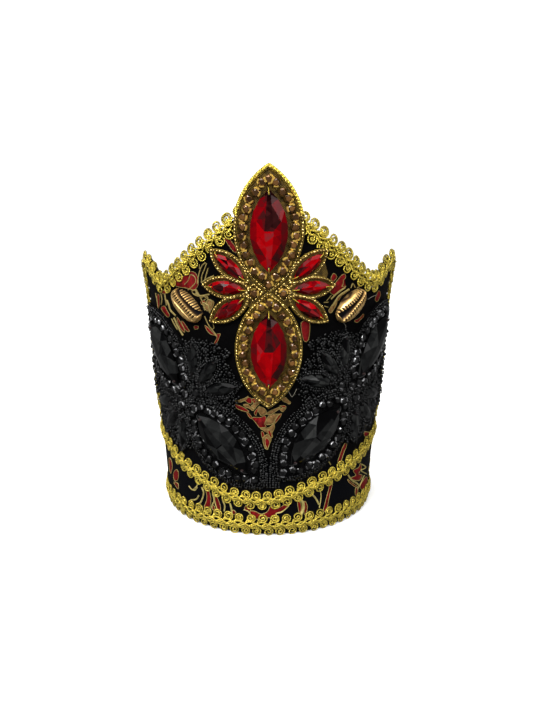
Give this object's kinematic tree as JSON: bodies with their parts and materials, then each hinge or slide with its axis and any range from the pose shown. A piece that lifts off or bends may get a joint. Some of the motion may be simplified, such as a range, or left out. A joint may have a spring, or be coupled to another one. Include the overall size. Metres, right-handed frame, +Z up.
{
  "type": "three-point crown",
  "caption": "Tall brocade-covered crown with three points, gold scroll braid on its edges, a red and gold beaded front motif, black beaded side motifs and gilt cowrie shells.",
  "frame": {"origin": "on the floor at the middle of the round head opening", "axes": "+Z up along the crown's axis, front motif towards -Y, +X to the right as seen from the front"},
  "size_m": [0.1634, 0.1635, 0.2231],
  "materials": {
    "brocade": "black woven brocade with red and old gold figures",
    "gold_braid": "bright gold metal thread gimp",
    "gold_beads": "antique gold seed beads on olive net",
    "topaz_rhinestones": "champagne stones in gold claw cups",
    "red_glass": "clear cut red glass with a dark foil back",
    "black_beads": "glossy black seed beads",
    "black_rhinestones": "black stones in black claw cups",
    "jet_glass": "polished cut jet-black glass",
    "gilt_shell": "cowrie shell plated in pale gold"
  },
  "bodies": {
    "root": {"crown_wall": "brocade", "hem_braid": "gold_braid", "band_braid": "gold_braid", "left_point_braid": "gold_braid", "right_point_braid": "gold_braid", "front_backing": "gold_beads", "front_rhinestones": "topaz_rhinestones", "front_upper_stone": "red_glass", "front_lower_stone": "red_glass", "front_petal_left_top": "red_glass", "front_petal_left_middle": "red_glass", "front_petal_left_low": "red_glass", "front_petal_right_top": "red_glass", "front_petal_right_middle": "red_glass", "front_petal_right_low": "red_glass", "left_backing": "black_beads", "left_rhinestones": "black_rhinestones", "left_upper_stone": "jet_glass", "left_lower_stone": "jet_glass", "left_petal_inner_top": "jet_glass", "left_petal_inner_middle": "jet_glass", "left_petal_inner_low": "jet_glass", "left_petal_outer_top": "jet_glass", "left_petal_outer_middle": "jet_glass", "left_petal_outer_low": "jet_glass", "right_backing": "black_beads", "right_rhinestones": "black_rhinestones", "right_upper_stone": "jet_glass", "right_lower_stone": "jet_glass", "right_petal_inner_top": "jet_glass", "right_petal_inner_middle": "jet_glass", "right_petal_inner_low": "jet_glass", "right_petal_outer_top": "jet_glass", "right_petal_outer_middle": "jet_glass", "right_petal_outer_low": "jet_glass", "left_cowrie": "gilt_shell", "right_cowrie": "gilt_shell"}
  },
  "joints": []
}
